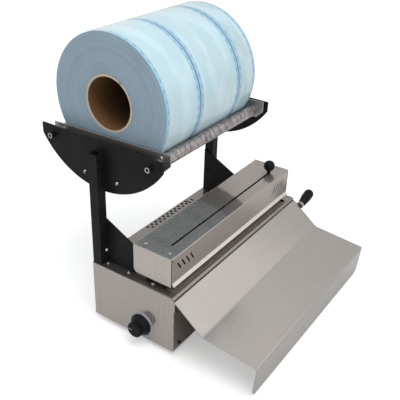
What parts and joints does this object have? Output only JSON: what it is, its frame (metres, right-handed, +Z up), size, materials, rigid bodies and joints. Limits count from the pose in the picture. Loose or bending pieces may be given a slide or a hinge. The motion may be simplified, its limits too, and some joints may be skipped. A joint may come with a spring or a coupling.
{
  "type": "sterilization pouch sealer",
  "caption": "Benchtop pouch sealer: sheet-steel base with a sealing head, press lever, sliding cutter, temperature dial, delivery tray and a rear rack that carries film rolls.",
  "frame": {"origin": "centre of the base footprint, on the table under the feet", "axes": "+X along the machine towards the lever, +Y to the rear, +Z up"},
  "size_m": [0.4303, 0.3928, 0.4487],
  "materials": {
    "stainless": "satin, brushed along the length",
    "black_paint": "semi-gloss powder coat",
    "black_plastic": "smooth",
    "rubber": "matte",
    "bright_steel": "polished",
    "steel_parts": "machined",
    "aluminium": "extruded",
    "dark_alloy": "black anodised",
    "silicone": "matte",
    "ceramic": "matte",
    "ptfe": "smooth",
    "element": "bare",
    "bronze": "machined",
    "scale": "satin",
    "film": "glossy film wound over paper",
    "card": "spiral wound"
  },
  "bodies": {
    "machine": {"base_pan": "stainless", "base_left_end": "stainless", "base_right_end": "stainless", "base_top": "stainless", "feet": "rubber", "case_screws": "bright_steel", "tray": "stainless", "head_cover": "stainless", "head_left_end": "stainless", "head_right_end": "stainless", "head_spacers": "steel_parts", "head_floor": "stainless", "head_screws": "bright_steel", "heater_bar": "dark_alloy", "heater_hangers": "ceramic", "heating_element": "element", "ptfe_strip": "ptfe", "thermal_sensor": "steel_parts", "cutter_rail": "dark_alloy", "press_guides": "steel_parts", "return_springs": "steel_parts", "shaft_bearing": "steel_parts", "shaft_bush": "bronze", "scale_disc": "scale", "thermostat_body": "black_plastic", "cord_gland": "black_plastic", "switch_body": "black_plastic", "left_post": "black_paint", "right_post": "black_paint", "left_gusset": "black_paint", "right_gusset": "black_paint", "left_plate": "black_paint", "right_plate": "black_paint", "left_rail": "stainless", "right_rail": "stainless", "plate_stiffeners": "black_paint", "tube_spacers": "bright_steel", "front_tube": "bright_steel", "rear_tube": "bright_steel", "tube_bolts": "bright_steel", "rack_screws": "bright_steel"},
    "lever": {"press_shaft": "steel_parts", "press_cams": "steel_parts", "lever_arm": "steel_parts", "lever_rod": "bright_steel", "lever_grip": "black_plastic"},
    "press": {"press_bar": "aluminium", "press_pad": "silicone"},
    "cutter": {"cutter_carriage": "black_plastic", "cutter_blade": "bright_steel", "cutter_knob": "black_plastic"},
    "dial": {"dial_knob": "black_plastic"},
    "rocker": {"power_rocker": "black_plastic"},
    "left_roll": {"left_roll_film": "film", "left_roll_core": "card"},
    "mid_roll": {"mid_roll_film": "film", "mid_roll_core": "card"},
    "right_roll": {"right_roll_film": "film", "right_roll_core": "card"}
  },
  "joints": [
    {"name": "lever_turn", "type": "hinge", "parent": "machine", "child": "lever", "pos_m": [0, -0.047, 0.0707], "axis": [1, 0, 0], "range_deg": [0, 45.02]},
    {"name": "press_lift", "type": "slide", "parent": "machine", "child": "press", "axis": [0, 0, 1], "range_m": [0, 0.0086], "stiffness_N_per_m": 1200, "springref_m": -0.005, "deforming": ["return_springs"]},
    {"name": "cutter_slide", "type": "slide", "parent": "machine", "child": "cutter", "axis": [-1, 0, 0], "range_m": [0, 0.2806]},
    {"name": "dial_turn", "type": "hinge", "parent": "machine", "child": "dial", "pos_m": [-0.196, -0.0173, 0.032], "axis": [-1, 0, 0], "range_deg": [0, 270]},
    {"name": "rocker_tilt", "type": "hinge", "parent": "machine", "child": "rocker", "pos_m": [0.10065, 0.074, 0.032], "axis": [1, 0, 0], "range_deg": [0, 16]},
    {"name": "left_roll_turn", "type": "hinge", "parent": "machine", "child": "left_roll", "pos_m": [0, 0.067, 0.34971], "axis": [1, 0, 0], "continuous": true},
    {"name": "mid_roll_turn", "type": "hinge", "parent": "machine", "child": "mid_roll", "pos_m": [0, 0.067, 0.34971], "axis": [1, 0, 0], "continuous": true},
    {"name": "right_roll_turn", "type": "hinge", "parent": "machine", "child": "right_roll", "pos_m": [0, 0.067, 0.34971], "axis": [1, 0, 0], "continuous": true}
  ],
  "couplings": [
    {"joint": "lever_turn", "follows": "press_lift", "rad_per_m": 91.325}
  ]
}
